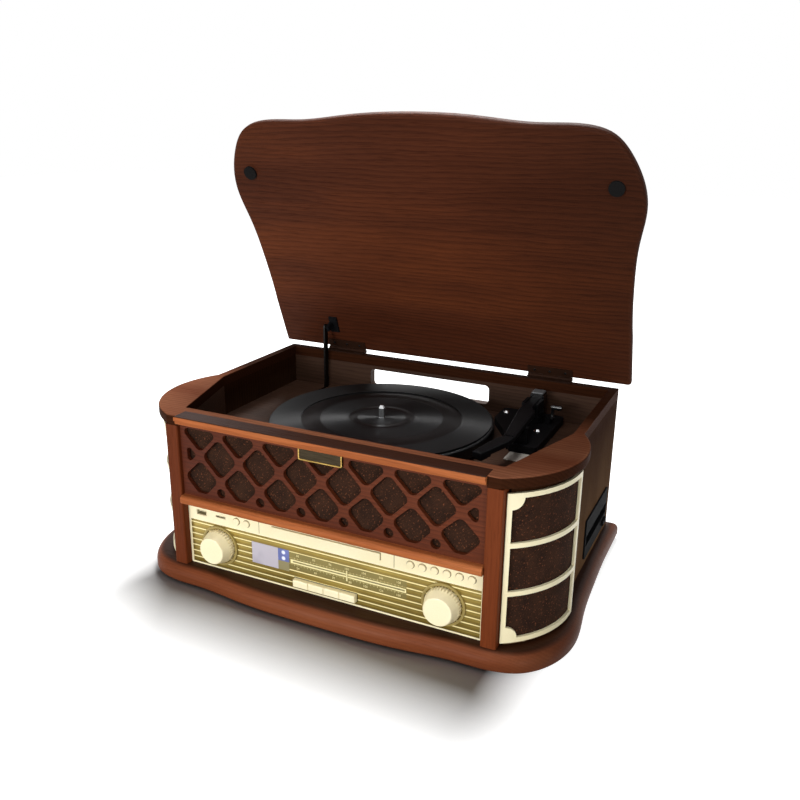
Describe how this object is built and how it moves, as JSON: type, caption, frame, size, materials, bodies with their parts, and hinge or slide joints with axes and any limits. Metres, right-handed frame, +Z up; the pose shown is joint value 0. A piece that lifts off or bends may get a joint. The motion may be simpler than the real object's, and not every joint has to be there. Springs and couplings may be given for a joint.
{
  "type": "record player",
  "caption": "Wooden music centre with a turntable under a hinged lid, tonearm, fretwork front, radio dial, disc drawer and cassette slot",
  "frame": {"origin": "on the floor under the middle of the plinth", "axes": "+X to the right of the front, +Y to the back, +Z up"},
  "size_m": [0.5124, 0.3543, 0.5185],
  "materials": {
    "dark_wood": "satin varnish with grain",
    "rail_wood": "satin varnish with grain",
    "lid_wood": "satin varnish with grain",
    "cream_plastic": "semi-gloss",
    "cloth": "speckled weave",
    "gold_dial": "satin with pale stripes",
    "black_plastic": "fine grain",
    "gloss_black": "smooth",
    "chrome": "polished",
    "steel": "plain",
    "brass": "polished",
    "rubber": "matt",
    "display": "clear front",
    "board": "laminate",
    "fibre": "plain board"
  },
  "bodies": {
    "cabinet": {"plinth": "dark_wood", "rubber_feet": "rubber", "side_walls": "dark_wood", "rear_panel": "fibre", "cord_gland": "black_plastic", "front_posts": "dark_wood", "front_rails": "rail_wood", "corner_baffles": "fibre", "corner_frames": "cream_plastic", "speaker_drivers": "steel", "top_rim": "dark_wood", "well_liner": "fibre", "deck_board": "fibre", "fretwork": "dark_wood", "grille_cloths": "cloth", "badge_plate": "brass", "control_fascia": "cream_plastic", "dial_plate": "gold_dial", "knob_bezels": "cream_plastic", "display_module": "display", "memory_sockets": "chrome", "control_board": "board", "disc_cage": "black_plastic", "drive_motor": "steel", "drive_belt": "rubber", "tonearm_base": "black_plastic", "base_screws": "chrome", "cabinet_hinge_leaves": "brass", "cassette_slot": "black_plastic"},
    "lid": {"lid_panel": "lid_wood", "lid_bumpers": "rubber", "lid_hinge_leaves": "brass", "stay_bracket": "steel"},
    "stay": {"stay_bar": "chrome"},
    "turntable": {"platter": "gloss_black", "platter_mat": "rubber", "spindle": "chrome"},
    "pulley": {"motor_pulley": "brass"},
    "yoke": {"arm_yoke": "black_plastic"},
    "arm": {"tonearm": "black_plastic", "counterweight": "steel", "headshell": "black_plastic"},
    "cue": {"cue_lever": "black_plastic"},
    "volume": {"volume_knob": "cream_plastic"},
    "tuning": {"tuning_knob": "cream_plastic"},
    "pointer": {"dial_pointer": "black_plastic"},
    "drawer": {"disc_drawer": "cream_plastic"},
    "eject": {"eject_key": "black_plastic"},
    "piano_key_1_body": {"piano_key_1": "cream_plastic"},
    "piano_key_2_body": {"piano_key_2": "cream_plastic"},
    "piano_key_3_body": {"piano_key_3": "cream_plastic"},
    "piano_key_4_body": {"piano_key_4": "cream_plastic"},
    "left_button_1_body": {"left_button_1": "cream_plastic"},
    "left_button_2_body": {"left_button_2": "cream_plastic"},
    "right_button_1_body": {"right_button_1": "cream_plastic"},
    "right_button_2_body": {"right_button_2": "cream_plastic"},
    "right_button_3_body": {"right_button_3": "cream_plastic"},
    "right_button_4_body": {"right_button_4": "cream_plastic"},
    "right_button_5_body": {"right_button_5": "cream_plastic"},
    "right_button_6_body": {"right_button_6": "cream_plastic"}
  },
  "joints": [
    {"name": "lid_hinge", "type": "hinge", "parent": "cabinet", "child": "lid", "pos_m": [0, 0.166, 0.2055], "axis": [1, 0, 0], "range_deg": [0, 67.5]},
    {"name": "stay_pivot", "type": "hinge", "parent": "lid", "child": "stay", "pos_m": [-0.167, 0.14376, 0.23958], "axis": [1, 0, 0], "range_deg": [-67.5, 0]},
    {"name": "platter_spin", "type": "hinge", "parent": "cabinet", "child": "turntable", "pos_m": [-0.016, 0.015, 0.16], "axis": [0, 0, -1], "continuous": true},
    {"name": "pulley_spin", "type": "hinge", "parent": "cabinet", "child": "pulley", "pos_m": [-0.08105, 0.08005, 0.163], "axis": [0, 0, -1], "continuous": true},
    {"name": "arm_swing", "type": "hinge", "parent": "cabinet", "child": "yoke", "pos_m": [0.139, 0.115, 0.172], "axis": [0, 0, -1], "range_deg": [0, 40]},
    {"name": "arm_lift", "type": "hinge", "parent": "yoke", "child": "arm", "pos_m": [0.139, 0.115, 0.184], "axis": [-1, 0, 0], "range_deg": [0, 4]},
    {"name": "cue_turn", "type": "hinge", "parent": "cabinet", "child": "cue", "pos_m": [0.16, 0.115, 0.17], "axis": [1, 0, 0], "range_deg": [0, 50]},
    {"name": "volume_turn", "type": "hinge", "parent": "cabinet", "child": "volume", "pos_m": [-0.1357, -0.149, 0.0533], "axis": [0, 1, 0], "range_deg": [-150, 150]},
    {"name": "tuning_turn", "type": "hinge", "parent": "cabinet", "child": "tuning", "pos_m": [0.1357, -0.149, 0.0533], "axis": [0, 1, 0], "range_deg": [-150, 150]},
    {"name": "pointer_slide", "type": "slide", "parent": "cabinet", "child": "pointer", "axis": [1, 0, 0], "range_m": [-0.0625, 0.0625]},
    {"name": "drawer_slide", "type": "slide", "parent": "cabinet", "child": "drawer", "axis": [0, -1, 0], "range_m": [0, 0.125]},
    {"name": "eject_press", "type": "slide", "parent": "cabinet", "child": "eject", "axis": [-1, 0, 0], "range_m": [0, 0.003], "stiffness_N_per_m": 400, "springref_m": -0.001},
    {"name": "piano_key_1_press", "type": "slide", "parent": "cabinet", "child": "piano_key_1_body", "axis": [0, 1, 0], "range_m": [0, 0.003], "stiffness_N_per_m": 400, "springref_m": -0.001},
    {"name": "piano_key_2_press", "type": "slide", "parent": "cabinet", "child": "piano_key_2_body", "axis": [0, 1, 0], "range_m": [0, 0.003], "stiffness_N_per_m": 400, "springref_m": -0.001},
    {"name": "piano_key_3_press", "type": "slide", "parent": "cabinet", "child": "piano_key_3_body", "axis": [0, 1, 0], "range_m": [0, 0.003], "stiffness_N_per_m": 400, "springref_m": -0.001},
    {"name": "piano_key_4_press", "type": "slide", "parent": "cabinet", "child": "piano_key_4_body", "axis": [0, 1, 0], "range_m": [0, 0.003], "stiffness_N_per_m": 400, "springref_m": -0.001},
    {"name": "left_button_1_press", "type": "slide", "parent": "cabinet", "child": "left_button_1_body", "axis": [0, 1, 0], "range_m": [0, 0.0012], "stiffness_N_per_m": 400, "springref_m": -0.0005},
    {"name": "left_button_2_press", "type": "slide", "parent": "cabinet", "child": "left_button_2_body", "axis": [0, 1, 0], "range_m": [0, 0.0012], "stiffness_N_per_m": 400, "springref_m": -0.0005},
    {"name": "right_button_1_press", "type": "slide", "parent": "cabinet", "child": "right_button_1_body", "axis": [0, 1, 0], "range_m": [0, 0.0012], "stiffness_N_per_m": 400, "springref_m": -0.0005},
    {"name": "right_button_2_press", "type": "slide", "parent": "cabinet", "child": "right_button_2_body", "axis": [0, 1, 0], "range_m": [0, 0.0012], "stiffness_N_per_m": 400, "springref_m": -0.0005},
    {"name": "right_button_3_press", "type": "slide", "parent": "cabinet", "child": "right_button_3_body", "axis": [0, 1, 0], "range_m": [0, 0.0012], "stiffness_N_per_m": 400, "springref_m": -0.0005},
    {"name": "right_button_4_press", "type": "slide", "parent": "cabinet", "child": "right_button_4_body", "axis": [0, 1, 0], "range_m": [0, 0.0012], "stiffness_N_per_m": 400, "springref_m": -0.0005},
    {"name": "right_button_5_press", "type": "slide", "parent": "cabinet", "child": "right_button_5_body", "axis": [0, 1, 0], "range_m": [0, 0.0012], "stiffness_N_per_m": 400, "springref_m": -0.0005},
    {"name": "right_button_6_press", "type": "slide", "parent": "cabinet", "child": "right_button_6_body", "axis": [0, 1, 0], "range_m": [0, 0.0012], "stiffness_N_per_m": 400, "springref_m": -0.0005}
  ],
  "couplings": [
    {"joint": "stay_pivot", "follows": "lid_hinge", "ratio": -1},
    {"joint": "pulley_spin", "follows": "platter_spin", "ratio": 7.5},
    {"joint": "cue_turn", "follows": "arm_lift", "ratio": 12.5},
    {"joint": "pointer_slide", "follows": "tuning_turn", "m_per_rad": 0.023873}
  ]
}
